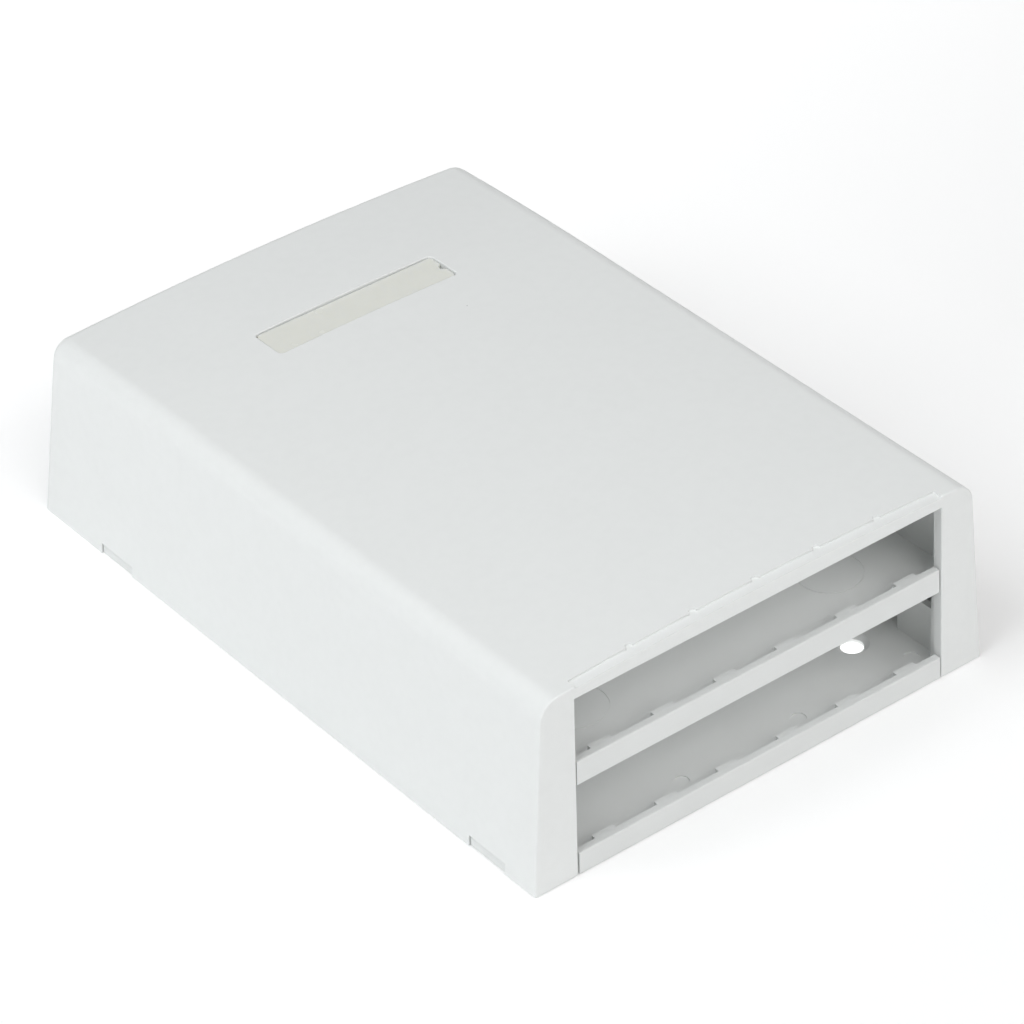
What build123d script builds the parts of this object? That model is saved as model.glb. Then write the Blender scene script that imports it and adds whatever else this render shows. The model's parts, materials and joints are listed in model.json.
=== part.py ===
from build123d import *
import math
import os

# Fiber termination box: a two-deck, twelve-port surface box with a lift-off cover.
# Millimetres, +Z up, ports face -Y, origin at the middle of the footprint on the mounting surface.

# ---- Driving dimensions -------------------------------------------------------------------
port_pitch = 16.4
ports_per_row = 6
box_width = 121.6
box_length = 180.2
box_height = 49.1
side_slope = math.tan(math.radians(4.2))
rear_slope = math.tan(math.radians(7.2))
crown_radius = 900.0
edge_radius = 5.0
rear_corner = 3.0
soft_edge = 0.3
fall_depth = 125.0
fall_radius = 900.0
rear_overrun = 11.0
top_edge_start = 50.0

wall = 2.4
front_wall = 2.45
clearance = 0.35
floor_thickness = 1.8
thin_wall = 1.5

# Front opening of the cover, and the two bars that close it below each row of ports
opening_half_low = 49.6
opening_half_high = 48.8
opening_top = 44.7
bar_gap = 0.4
bar_depth = 1.7
lower_bar_top = 5.4
deck_bottom = 22.6
middle_bar_top = 28.6
middle_bar_setback = 0.3
tab_width = 5.5
tab_reach = 1.2
tab_thickness = 1.2
tab_corner = 0.2

# Port label ledge along the cover's front edge
ledge_half = 48.6
ledge_depth = 2.4
ledge_drop = 0.47
ledge_notch_radius = 0.95
ledge_fillet = 0.3

# Label window and the captive screw under it
label_x = 0.3
label_depth = 137.85
recess_length = 48.6
recess_width = 10.1
recess_corner = 1.2
window_top = 48.25
window_thickness = 1.0
window_play = 0.2
window_notch_radius = 1.1
card_thickness = 0.2
recess_floor = 46.95
pad_bottom = 44.9
leg_offset = 21.5
leg_size = 1.0
leg_width = 4.0
screw_seat = 44.7
screw_head_radius = 2.9
screw_head_height = 2.0
screw_radius = 1.5
screw_tip = 29.5
boss_radius = 5.0
boss_bottom = 36.0
post_top = 35.0
post_radius = 4.6
insert_radius = 2.3
insert_length = 6.0
retainer_radius = 2.8
retainer_thickness = 0.5
cross_length = 3.4
cross_width = 0.8

# Side notches, wall screws and cable entries
notch_depths = (15.9, 149.9)
notch_width = 12.0
notch_height = 2.6
screw_hole_x = 41.6
screw_hole_depths = (19.6, 148.0)
screw_hole_radius = 2.6
screw_sink_radius = 3.85
screw_sink_height = 0.9
entry_x = 36.0
entry_axis_height = 7.0
entry_slot_half = 6.0
entry_notch_half = 8.0
entry_notch_height = 16.2
entry_hole_radius = 3.2
base_wall_height = 8.0
rear_wall_height = 16.0
rear_wall_depth = 173.7
saddle_depth = 160.0
saddle_screw_offset = 7.0
saddle_length = 8.0
saddle_height = 7.8
saddle_wall = 1.8
saddle_foot_width = 5.4
saddle_foot_height = 2.0
saddle_hole_radius = 1.4
saddle_screw_radius = 1.2
saddle_head_radius = 1.9
saddle_head_height = 1.5
saddle_pilot_radius = 1.25

# Cheeks, deck supports and mould marks
cheek_inner = 52.4
cheek_wall = 1.6
cheek_depth = 17.2
cheek_height = 13.0
deck_step_width = 5.2
deck_step_depth = 1.2
side_tab_reach = 4.4
side_tab_inset = 0.4
side_tab_gap = 0.3
side_tab_round = 0.8
pin_radius = 1.25
pin_length = 4.5
pin_hole_radius = 1.6
pin_hole_depth = 5.0
foot_x = 53.6
foot_width = 1.8
foot_length = 5.0
foot_bottom = 17.5
foot_depth = 10.0
ejector_depth = 7.7
ejector_pitch = 32.0
ejector_radius = 1.75
ejector_sink = 0.25
insert_mark_x = 34.6
insert_mark_depth = 19.1
insert_mark_radius = 7.5
insert_mark_width = 0.25
insert_mark_sink = 0.15

# Fiber spools, splice holders and clips, the same on both decks
spool_radius = 23.0
spool_wall = 2.0
spool_height = 14.0
spool_plate = 1.6
spool_depths = (85.0, label_depth)
spool_bore = 7.0
finger_reach = 6.0
finger_width = 9.0
finger_corner = 1.5
splice_x = 42.0
splice_depth = 111.0
splice_length = 40.0
splice_channels = 5
splice_pitch = 4.1
splice_rib = 1.0
splice_height = 7.0
splice_floor = 1.5
splice_window = 14.0
clip_x = 48.0
clip_depths = (62.0, 138.0)
clip_gap = 3.8
clip_wall = 1.2
clip_slit = 1.4
clip_length = 8.0

tray_wall_top = 38.5
tray_depth = 172.2
tray_post_x = 50.0
tray_post_depths = (27.0, 160.0)
tray_post_radius = 3.2
post_room = 1.4
passage_width = 16.0
passage_length = 13.0
passage_corner = 3.0

base_floor = floor_thickness
deck_floor = deck_bottom + floor_thickness
lead_in = front_wall + clearance
feature_gap = 0.2
overlap = 0.1


def behind(depth):
    """Y of a point that lies this far behind the front face."""
    return depth - box_length / 2


def upright(depth):
    """A plane facing the front, this far behind the front face: its x is X and its y is Z."""
    return Plane(origin=(0, behind(depth), 0), x_dir=(1, 0, 0), z_dir=(0, -1, 0))


def cover_half(height, inset=0.0):
    """Half the cover's width at a height."""
    return box_width / 2 - inset - side_slope * height


def opening_half(height):
    """Half the front opening's width at a height."""
    return opening_half_low - (opening_half_low - opening_half_high) * height / opening_top


def write(block, name):
    """Label a finished piece and write its file."""
    block.part.label = name
    export_step(block.part, f"parts/{name}.step")


os.makedirs("parts", exist_ok=True)


# ---- Cover --------------------------------------------------------------------------------
def crown_block(inset, depth, bottom, corner):
    """The cover's drafted outline, drawn in on every side but the front and the bottom."""
    crown = box_height - inset
    side = box_width / 2
    shoulder = crown - side**2 / (2 * crown_radius)
    rear_bottom = box_length / 2 - inset - rear_slope * bottom
    rear_top = box_length / 2 - inset - rear_slope * box_height
    with BuildPart() as block:
        # the crown runs straight at the front and bends down gently over the rear
        for start in (depth, fall_depth):
            with BuildSketch(upright(start)):
                with BuildLine():
                    ThreePointArc((-side, shoulder), (0, crown), (side, shoulder))
                    Polyline((side, shoulder), (side, -2), (-side, -2), (-side, shoulder))
                make_face()
            if start == depth:
                extrude(amount=depth - fall_depth)
            else:
                revolve(
                    axis=Axis((0, behind(fall_depth), crown - fall_radius), (-1, 0, 0)),
                    revolution_arc=math.degrees((box_length + rear_overrun - fall_depth) / fall_radius),
                )
        with BuildSketch(upright(depth - 1)):
            Polygon(
                (-cover_half(bottom, inset), bottom),
                (cover_half(bottom, inset), bottom),
                (cover_half(box_height, inset), box_height),
                (-cover_half(box_height, inset), box_height),
                align=None,
            )
        extrude(amount=depth - 1 - box_length, mode=Mode.INTERSECT)
        with BuildSketch(Plane.YZ):
            Polygon(
                (behind(depth), bottom),
                (rear_bottom, bottom),
                (rear_top, box_height),
                (behind(depth), box_height),
                align=None,
            )
        extrude(amount=box_width, both=True, mode=Mode.INTERSECT)
        shoulders = block.edges().filter_by(
            lambda edge: abs(edge.center().X) > top_edge_start and edge.center().Z > opening_top - 2
            and edge.bounding_box().size.Y > 10
        )
        fillet(shoulders, edge_radius - inset)
        rear_face = block.faces().sort_by(Axis.Y)[-1]
        fillet(rear_face.edges().filter_by(lambda edge: edge.center().Z > 1), corner)
    return block.part


cover_outside = crown_block(0, 0, 0, rear_corner)
cover_inside = crown_block(wall, front_wall, -1, 0.8)

with BuildPart() as cover:
    add(cover_outside)
    add(cover_inside, mode=Mode.SUBTRACT)
    front_face = cover.faces().sort_by(Axis.Y)[0]
    fillet(front_face.outer_wire().edges().filter_by(lambda edge: edge.center().Z > 1), 0.4)
    # pad and tube that carry the label recess and the captive screw
    with BuildSketch(Plane.XY.offset(pad_bottom)):
        with Locations((label_x, behind(label_depth))):
            RectangleRounded(recess_length + 4, recess_width + 5, 2)
    extrude(amount=recess_floor + 1 - pad_bottom)
    with BuildSketch(Plane.XY.offset(boss_bottom)):
        with Locations((0, behind(label_depth))):
            Circle(boss_radius)
    extrude(amount=recess_floor - boss_bottom)
    with BuildSketch(Plane.XY.offset(recess_floor)):
        with Locations((label_x, behind(label_depth))):
            RectangleRounded(recess_length, recess_width, recess_corner)
    extrude(amount=box_height, mode=Mode.SUBTRACT)
    recess_rim = cover.edges().filter_by(
        lambda edge: edge.center().Z > window_top
        and abs(edge.center().X - label_x) < recess_length / 2 + 0.1
        and abs(edge.center().Y - behind(label_depth)) < recess_width / 2 + 0.1
    )
    fillet(recess_rim, soft_edge)
    with BuildSketch(Plane.XY.offset(screw_seat)):
        with Locations((0, behind(label_depth))):
            Circle(screw_head_radius + clearance)
    extrude(amount=recess_floor - screw_seat, mode=Mode.SUBTRACT)
    with BuildSketch(Plane.XY.offset(boss_bottom)):
        with Locations((0, behind(label_depth))):
            Circle(screw_radius + 0.2)
    extrude(amount=screw_seat - boss_bottom, mode=Mode.SUBTRACT)
    # slots for the window's snap legs
    with BuildSketch(Plane.XY.offset(pad_bottom)):
        with Locations((label_x - leg_offset, behind(label_depth)), (label_x + leg_offset, behind(label_depth))):
            Rectangle(leg_size + 1.4, leg_width + 0.8)
    extrude(amount=recess_floor - pad_bottom, mode=Mode.SUBTRACT)
    # front opening, down to the mounting surface
    with BuildSketch(upright(-1)):
        Polygon(
            (-opening_half(-1), -1),
            (opening_half(-1), -1),
            (opening_half_high, opening_top),
            (-opening_half_high, opening_top),
            align=None,
        )
    extrude(amount=-(front_wall + 1), mode=Mode.SUBTRACT)
    opening_rim = cover.edges().filter_by(
        lambda edge: abs(edge.center().Y - behind(0)) < 0.01
        and abs(edge.center().X) < opening_half_low
        and 1 < edge.center().Z < opening_top + 0.1
    )
    fillet(opening_rim, soft_edge)
    # ledge for the port labels, with a finger notch between each two ports
    ledge_middle = box_height - ledge_drop
    ledge_end = ledge_middle - ledge_half**2 / (2 * crown_radius)
    with BuildSketch(upright(0)):
        with BuildLine():
            ThreePointArc((-ledge_half, ledge_end), (0, ledge_middle), (ledge_half, ledge_end))
            Polyline(
                (ledge_half, ledge_end),
                (ledge_half, box_height + 1),
                (-ledge_half, box_height + 1),
                (-ledge_half, ledge_end),
            )
        make_face()
    extrude(amount=-ledge_depth, mode=Mode.SUBTRACT)
    ledge_corner = cover.edges().filter_by(
        lambda edge: abs(edge.center().Y - behind(ledge_depth)) < 0.01
        and abs(edge.center().X) < ledge_half - 1
        and abs(edge.center().Z - ledge_middle) < 0.1
    )
    fillet(ledge_corner, ledge_fillet)
    for port in range(ports_per_row - 1):
        notch_x = (port - (ports_per_row - 2) / 2) * port_pitch
        notch_floor = ledge_middle - notch_x**2 / (2 * crown_radius)
        with BuildSketch(Plane.XY.offset(notch_floor)):
            with Locations((notch_x, behind(ledge_depth))):
                Circle(ledge_notch_radius)
        extrude(amount=2, mode=Mode.SUBTRACT)
    # side notches for the base's tabs, and the two cable entries at the rear
    for depth in notch_depths:
        with BuildSketch(Plane.YZ.offset(-box_width)):
            with Locations((behind(depth), 0)):
                Rectangle(notch_width, 2 * notch_height)
        extrude(amount=2 * box_width, mode=Mode.SUBTRACT)
    with BuildSketch(upright(rear_wall_depth)):
        with Locations((-entry_x, 0), (entry_x, 0)):
            SlotOverall(2 * entry_notch_height, 2 * entry_notch_half, rotation=90)
    extrude(amount=-20, mode=Mode.SUBTRACT)
write(cover, "cover")


# ---- Base ---------------------------------------------------------------------------------
def port_bar(bottom, top):
    """Draw a front bar's face between two heights, clear of the cover's legs."""
    Polygon(
        (-opening_half(bottom) + bar_gap, bottom),
        (opening_half(bottom) - bar_gap, bottom),
        (opening_half(top) - bar_gap, top),
        (-opening_half(top) + bar_gap, top),
        align=None,
    )


def port_tabs(setback):
    """Draw the row of latch tabs that stand behind a bar, one for each port."""
    with Locations((0, behind(setback + bar_depth + (tab_reach - 1) / 2))):
        with GridLocations(port_pitch, 1, ports_per_row, 1):
            RectangleRounded(tab_width, tab_reach + 1, tab_corner)


def front_edges(block, height, setback):
    """The edges of a bar's front face at a height."""
    return block.edges().filter_by(Axis.X).filter_by(
        lambda edge: abs(edge.center().Z - height) < 0.01 and abs(edge.center().Y - behind(setback)) < 0.01
    )


base_half = cover_half(0, wall) - clearance - 0.1
base_wall_outer = 57.2
base_rear = rear_wall_depth + thin_wall

with BuildPart() as base:
    with BuildSketch():
        with Locations((0, behind((lead_in + base_rear) / 2))):
            Rectangle(2 * base_half, base_rear - lead_in)
        with Locations((0, behind(lead_in / 2 + 0.5))):
            Rectangle(2 * (opening_half(base_floor) - bar_gap), lead_in + 1 - 0.2)
    extrude(amount=floor_thickness)
    with BuildSketch(upright(0)):
        port_bar(0, lower_bar_top)
    extrude(amount=-bar_depth)
    fillet(front_edges(base, lower_bar_top, 0), soft_edge)
    with BuildSketch(Plane.XY.offset(lower_bar_top - tab_thickness)):
        port_tabs(0)
    extrude(amount=tab_thickness)
    # low side walls, and the rear wall that holds the grommets
    with BuildSketch():
        for side in (-1, 1):
            with Locations((side * (base_wall_outer - thin_wall / 2), behind((lead_in + base_rear) / 2))):
                Rectangle(thin_wall, base_rear - lead_in)
    extrude(amount=base_wall_height)
    with BuildSketch(upright(rear_wall_depth)):
        Polygon(
            (-base_wall_outer, 0),
            (base_wall_outer, 0),
            (cover_half(rear_wall_height, wall) - clearance, rear_wall_height),
            (-cover_half(rear_wall_height, wall) + clearance, rear_wall_height),
            align=None,
        )
    extrude(amount=-thin_wall)
    with BuildSketch(upright(rear_wall_depth - 1)):
        with Locations((-entry_x, 3 + rear_wall_height / 2), (entry_x, 3 + rear_wall_height / 2)):
            Rectangle(2 * entry_slot_half, rear_wall_height)
    extrude(amount=-(thin_wall + 2), mode=Mode.SUBTRACT)
    # front cheeks behind the cover's legs, with the posts that the deck's front rests on
    for side in (-1, 1):
        with BuildSketch(Plane.XY.offset(base_floor)):
            with Locations((side * (cheek_inner + cheek_wall / 2), behind((lead_in + cheek_depth) / 2))):
                Rectangle(cheek_wall, cheek_depth - lead_in)
        extrude(amount=cheek_height - base_floor)
        with BuildSketch(Plane.XY.offset(base_floor)):
            with Locations((side * (cheek_inner + feature_gap), behind(lead_in + deck_step_depth / 2))):
                Rectangle(deck_step_width, deck_step_depth)
        extrude(amount=deck_bottom - feature_gap - base_floor)
    # tabs that fill the cover's side notches
    for side in (-1, 1):
        for depth in notch_depths:
            with BuildSketch():
                with Locations((side * (box_width / 2 - side_tab_inset - side_tab_reach / 2), behind(depth))):
                    Rectangle(side_tab_reach, notch_width - 2 * side_tab_gap)
            extrude(amount=notch_height - side_tab_gap)
    tab_edges = base.edges().filter_by(Axis.Y).filter_by(
        lambda edge: abs(edge.center().X) > box_width / 2 - 1 and edge.center().Z > 1
    )
    fillet(tab_edges, side_tab_round)
    # deck posts with a hole each for the deck's pins, and the screw post
    with BuildSketch(Plane.XY.offset(base_floor)):
        for depth in tray_post_depths:
            with Locations((-tray_post_x, behind(depth)), (tray_post_x, behind(depth))):
                Circle(tray_post_radius)
    extrude(amount=deck_bottom - feature_gap - base_floor)
    with BuildSketch(Plane.XY.offset(deck_bottom - pin_hole_depth)):
        for depth in tray_post_depths:
            with Locations((-tray_post_x, behind(depth)), (tray_post_x, behind(depth))):
                Circle(pin_hole_radius)
    extrude(amount=2 * pin_hole_depth, mode=Mode.SUBTRACT)
    with BuildSketch(Plane.XY.offset(base_floor)):
        with Locations((0, behind(label_depth))):
            Circle(post_radius)
    extrude(amount=post_top - base_floor)
    with BuildSketch(Plane.XY.offset(post_top - insert_length - 0.1)):
        with Locations((0, behind(label_depth))):
            Circle(insert_radius)
    extrude(amount=insert_length + 1, mode=Mode.SUBTRACT)
    # wall-screw holes, countersunk from inside
    for depth in screw_hole_depths:
        for side in (-1, 1):
            with BuildSketch():
                with Locations((side * screw_hole_x, behind(depth))):
                    Circle(screw_hole_radius)
            extrude(amount=floor_thickness, mode=Mode.SUBTRACT)
            with Locations((side * screw_hole_x, behind(depth), floor_thickness - screw_sink_height / 2)):
                Cone(screw_hole_radius, screw_sink_radius, screw_sink_height, mode=Mode.SUBTRACT)
    # pilot holes of the saddle screws, and the shallow ejector marks behind the bar
    with BuildSketch(Plane.XY.offset(0.4)):
        for side in (-1, 1):
            with Locations(
                (side * entry_x - saddle_screw_offset, behind(saddle_depth)),
                (side * entry_x + saddle_screw_offset, behind(saddle_depth)),
            ):
                Circle(saddle_pilot_radius)
    extrude(amount=floor_thickness, mode=Mode.SUBTRACT)
    with BuildSketch(Plane.XY.offset(base_floor - ejector_sink)):
        with Locations((0, behind(ejector_depth))):
            with GridLocations(ejector_pitch, 1, 4, 1):
                Circle(ejector_radius)
    extrude(amount=2 * ejector_sink, mode=Mode.SUBTRACT)
write(base, "base")


# ---- Upper tray ---------------------------------------------------------------------------
def tray_half(height, inset=0.0):
    """Half the tray's width at a height: it follows the cover's draft."""
    return cover_half(height, wall) - clearance - inset


with BuildPart() as upper_tray:
    with BuildSketch(upright(lead_in)):
        Polygon(
            (-tray_half(deck_bottom), deck_bottom),
            (tray_half(deck_bottom), deck_bottom),
            (tray_half(tray_wall_top), tray_wall_top),
            (-tray_half(tray_wall_top), tray_wall_top),
            align=None,
        )
    extrude(amount=-(tray_depth - lead_in))
    with BuildSketch(upright(lead_in - 1)):
        Polygon(
            (-tray_half(deck_floor, thin_wall), deck_floor),
            (tray_half(deck_floor, thin_wall), deck_floor),
            (tray_half(tray_wall_top, thin_wall), tray_wall_top),
            (tray_half(tray_wall_top, thin_wall), box_height),
            (-tray_half(tray_wall_top, thin_wall), box_height),
            (-tray_half(tray_wall_top, thin_wall), tray_wall_top),
            align=None,
        )
    extrude(amount=-(tray_depth - thin_wall - lead_in + 1), mode=Mode.SUBTRACT)
    # front bar with its tabs, and the tongue that carries it between the cover's legs
    with BuildSketch(Plane.XY.offset(deck_bottom)):
        with Locations((0, behind(lead_in / 2 + 0.5))):
            Rectangle(2 * (opening_half(deck_floor) - bar_gap), lead_in)
    extrude(amount=floor_thickness)
    with BuildSketch(upright(middle_bar_setback)):
        port_bar(deck_bottom, middle_bar_top)
    extrude(amount=-bar_depth)
    fillet(front_edges(upper_tray, middle_bar_top, middle_bar_setback), soft_edge)
    fillet(front_edges(upper_tray, deck_bottom, middle_bar_setback), soft_edge)
    with BuildSketch(Plane.XY.offset(middle_bar_top - tab_thickness)):
        port_tabs(middle_bar_setback)
    extrude(amount=tab_thickness)
    # pins that drop into the base's posts, and side feet over the cheeks
    with BuildSketch(Plane.XY.offset(deck_bottom - pin_length)):
        for depth in tray_post_depths:
            with Locations((-tray_post_x, behind(depth)), (tray_post_x, behind(depth))):
                Circle(pin_radius)
    extrude(amount=pin_length + overlap)
    with BuildSketch(Plane.XY.offset(foot_bottom)):
        with Locations((-foot_x, behind(foot_depth)), (foot_x, behind(foot_depth))):
            Rectangle(foot_width, foot_length)
    extrude(amount=deck_bottom + overlap - foot_bottom)
    # hole for the screw post, and the two passages down to the cable entries
    with BuildSketch(Plane.XY.offset(deck_bottom - 1)):
        with Locations((0, behind(label_depth))):
            Circle(post_radius + post_room)
        with Locations((-entry_x, behind(saddle_depth)), (entry_x, behind(saddle_depth))):
            RectangleRounded(passage_width, passage_length, passage_corner)
    extrude(amount=floor_thickness + 2, mode=Mode.SUBTRACT)
    # fine round lines of the two mould inserts
    with BuildSketch(Plane.XY.offset(deck_floor - insert_mark_sink)):
        with Locations((-insert_mark_x, behind(insert_mark_depth)), (insert_mark_x, behind(insert_mark_depth))):
            Circle(insert_mark_radius)
            Circle(insert_mark_radius - insert_mark_width, mode=Mode.SUBTRACT)
    extrude(amount=2 * insert_mark_sink, mode=Mode.SUBTRACT)
write(upper_tray, "upper_tray")


# ---- Label window and card ----------------------------------------------------------------
window_bottom = window_top - window_thickness
with BuildPart() as label_window:
    with BuildSketch(Plane.XY.offset(window_bottom)):
        with Locations((label_x, behind(label_depth))):
            RectangleRounded(recess_length - 2 * window_play, recess_width - 2 * window_play, recess_corner)
        with Locations((label_x + recess_length / 2 - window_play, behind(label_depth))):
            Circle(window_notch_radius, mode=Mode.SUBTRACT)
    extrude(amount=window_thickness)
    for side in (-1, 1):
        with BuildSketch(Plane.XY.offset(pad_bottom - 0.7)):
            with Locations((label_x + side * leg_offset, behind(label_depth))):
                Rectangle(leg_size, leg_width)
        extrude(amount=window_bottom - pad_bottom + 0.8)
        with BuildSketch(Plane.XY.offset(pad_bottom - 0.7)):
            with Locations((label_x + side * (leg_offset + leg_size / 2 + 0.1), behind(label_depth))):
                Rectangle(0.4, leg_width)
        extrude(amount=0.5)
write(label_window, "label_window")

with BuildPart() as label_card:
    with BuildSketch(Plane.XY.offset(window_bottom - card_thickness)):
        with Locations((label_x, behind(label_depth))):
            Rectangle(2 * leg_offset - 2.4, recess_width - 0.8)
    extrude(amount=card_thickness)
write(label_card, "label_card")


# ---- Captive cover screw ------------------------------------------------------------------
screw_base = screw_seat + 0.05
with BuildPart() as cover_screw:
    with BuildSketch(Plane.XY.offset(screw_base)):
        with Locations((0, behind(label_depth))):
            Circle(screw_head_radius)
    extrude(amount=screw_head_height)
    fillet(cover_screw.faces().sort_by(Axis.Z)[-1].edges(), 0.6)
    with BuildSketch(Plane.XY.offset(screw_tip)):
        with Locations((0, behind(label_depth))):
            Circle(screw_radius)
    extrude(amount=screw_base - screw_tip)
    chamfer(cover_screw.faces().sort_by(Axis.Z)[0].edges(), 0.4)
    with BuildSketch(Plane.XY.offset(screw_base + 0.9)):
        with Locations((0, behind(label_depth))):
            Rectangle(cross_length, cross_width)
            Rectangle(cross_width, cross_length)
    extrude(amount=screw_head_height, mode=Mode.SUBTRACT)
write(cover_screw, "cover_screw")

with BuildPart() as screw_retainer:
    with BuildSketch(Plane.XY.offset(post_top + 0.25)):
        with Locations((0, behind(label_depth))):
            Circle(retainer_radius)
            Circle(screw_radius + 0.02, mode=Mode.SUBTRACT)
    extrude(amount=retainer_thickness)
write(screw_retainer, "screw_retainer")

with BuildPart() as threaded_insert:
    with BuildSketch(Plane.XY.offset(post_top - insert_length)):
        with Locations((0, behind(label_depth))):
            Circle(insert_radius - 0.02)
            Circle(screw_radius + 0.06, mode=Mode.SUBTRACT)
    extrude(amount=insert_length)
    for height in (post_top - 4.4, post_top - 2.4):
        with BuildSketch(Plane.XY.offset(height)):
            with Locations((0, behind(label_depth))):
                Circle(insert_radius)
                Circle(insert_radius - 0.3, mode=Mode.SUBTRACT)
        extrude(amount=0.8, mode=Mode.SUBTRACT)
write(threaded_insert, "threaded_insert")


# ---- Fiber spools, splice holders and clips on the two decks --------------------------------
def spool(floor_height, depth, end_angle):
    """A drum that keeps the fiber's bend radius, with three fingers that hold the loops down."""
    plate_height = floor_height + spool_height - spool_plate
    with BuildPart() as block:
        with BuildSketch(Plane.XY.offset(floor_height)):
            with Locations((0, behind(depth))):
                Circle(spool_radius)
                Circle(spool_radius - spool_wall, mode=Mode.SUBTRACT)
        extrude(amount=spool_height)
        with BuildSketch(Plane.XY.offset(plate_height)):
            with Locations((0, behind(depth))):
                Circle(spool_radius)
                Circle(spool_bore, mode=Mode.SUBTRACT)
                for angle in (0, 180, end_angle):
                    with PolarLocations(spool_radius + finger_reach / 2 - 0.5, 1, start_angle=angle):
                        Rectangle(finger_reach + 1, finger_width)
        extrude(amount=spool_plate)
        corners = block.edges().filter_by(Axis.Z).filter_by(
            lambda edge: edge.length < spool_plate + 0.1
            and math.hypot(edge.center().X, edge.center().Y - behind(depth)) > spool_radius + 2
        )
        fillet(corners, finger_corner)
    return block


def splice_holder(floor_height, x):
    """A block of open channels that grip the splice sleeves side by side."""
    width = splice_channels * splice_pitch + splice_rib
    with BuildPart() as block:
        with BuildSketch(Plane.XY.offset(floor_height)):
            with Locations((x, behind(splice_depth))):
                Rectangle(width, splice_length)
        extrude(amount=splice_height)
        with BuildSketch(Plane.XY.offset(floor_height + splice_floor)):
            with Locations((x, behind(splice_depth))):
                with GridLocations(splice_pitch, 1, splice_channels, 1):
                    Rectangle(splice_pitch - splice_rib, splice_length + 1)
        extrude(amount=splice_height, mode=Mode.SUBTRACT)
        with BuildSketch(Plane.XY.offset(floor_height + splice_floor)):
            with Locations((x, behind(splice_depth))):
                Rectangle(width + 1, splice_window)
        extrude(amount=splice_height, mode=Mode.SUBTRACT)
    return block


def fiber_clip(floor_height, side, depth):
    """A small C-shaped clip that holds the fibers near the side wall: it opens towards the middle."""
    size = clip_gap + 2 * clip_wall
    middle = floor_height + size / 2
    with BuildPart() as block:
        with BuildSketch(upright(depth - clip_length / 2)):
            with Locations((side * clip_x, middle)):
                RectangleRounded(size, size, 1)
                RectangleRounded(clip_gap, clip_gap, 0.6, mode=Mode.SUBTRACT)
            with Locations((side * (clip_x - size / 2), middle)):
                Rectangle(2 * clip_wall + 0.4, clip_slit, mode=Mode.SUBTRACT)
        extrude(amount=-clip_length)
    return block


decks = {"lower": base_floor, "upper": deck_floor}
splice_sides = {"lower": -1, "upper": 1}
for deck, floor_height in decks.items():
    write(spool(floor_height, spool_depths[0], 270), f"{deck}_spool_front")
    write(spool(floor_height, spool_depths[1], 90), f"{deck}_spool_rear")
    write(splice_holder(floor_height, splice_sides[deck] * splice_x), f"{deck}_splice_holder")
    for side, side_name in ((-1, "left"), (1, "right")):
        write(fiber_clip(floor_height, side, clip_depths[0]), f"{deck}_clip_{side_name}_front")
        write(fiber_clip(floor_height, side, clip_depths[1]), f"{deck}_clip_{side_name}_rear")


# ---- Cable entries and strain relief --------------------------------------------------------
flange_half = entry_notch_half - 0.5
entry_top = rear_wall_height - 0.6
entry_inside = rear_wall_depth - 1.3
entry_outside = base_rear + 2.2


def entry_block(x):
    """A rubber block that grips the base's rear wall and fills the cover's rear notch."""
    with BuildPart() as block:
        for start, end, half, low, top in (
            (entry_inside, entry_outside, entry_slot_half - 0.1, 3.1, entry_top - 0.6),
            (entry_inside, rear_wall_depth - 0.05, flange_half, base_floor + 0.1, entry_top),
            (base_rear + 0.05, entry_outside, flange_half, 0.3, entry_top),
        ):
            with BuildSketch(upright(start)):
                with Locations((x, 0)):
                    SlotOverall(2 * top, 2 * half, rotation=90)
                with Locations((x, low - top)):
                    Rectangle(2 * top, 2 * top, mode=Mode.SUBTRACT)
            extrude(amount=start - end)
    return block


with BuildPart() as entry_grommet:
    add(entry_block(entry_x).part)
    with BuildSketch(upright(rear_wall_depth - 2)):
        with Locations((entry_x, entry_axis_height)):
            Circle(entry_hole_radius)
    extrude(amount=-10, mode=Mode.SUBTRACT)
write(entry_grommet, "entry_grommet")

with BuildPart() as entry_plug:
    add(entry_block(-entry_x).part)
    with BuildSketch(upright(base_rear + 1.6)):
        with Locations((-entry_x, entry_axis_height)):
            Circle(entry_hole_radius + 0.6)
            Circle(entry_hole_radius, mode=Mode.SUBTRACT)
    extrude(amount=-2, mode=Mode.SUBTRACT)
write(entry_plug, "entry_plug")


def cable_saddle(x):
    """A bridge that presses the cable's jacket onto the base's floor."""
    arch = entry_hole_radius + 0.1
    with BuildPart() as block:
        with BuildSketch(upright(saddle_depth - saddle_length / 2)):
            with Locations((x, base_floor + saddle_foot_height / 2)):
                Rectangle(2 * saddle_screw_offset + saddle_foot_width, saddle_foot_height)
            with Locations((x, base_floor + saddle_height / 2)):
                RectangleRounded(2 * (arch + saddle_wall), saddle_height, 2.2)
            with Locations((x, base_floor + 2.9)):
                Circle(arch, mode=Mode.SUBTRACT)
            with Locations((x, base_floor + 1.4)):
                Rectangle(2 * arch, 3, mode=Mode.SUBTRACT)
        extrude(amount=-saddle_length)
        with BuildSketch(Plane.XY.offset(base_floor - 1)):
            with Locations(
                (x - saddle_screw_offset, behind(saddle_depth)),
                (x + saddle_screw_offset, behind(saddle_depth)),
            ):
                Circle(saddle_hole_radius)
        extrude(amount=2 * saddle_foot_height, mode=Mode.SUBTRACT)
    return block


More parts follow.
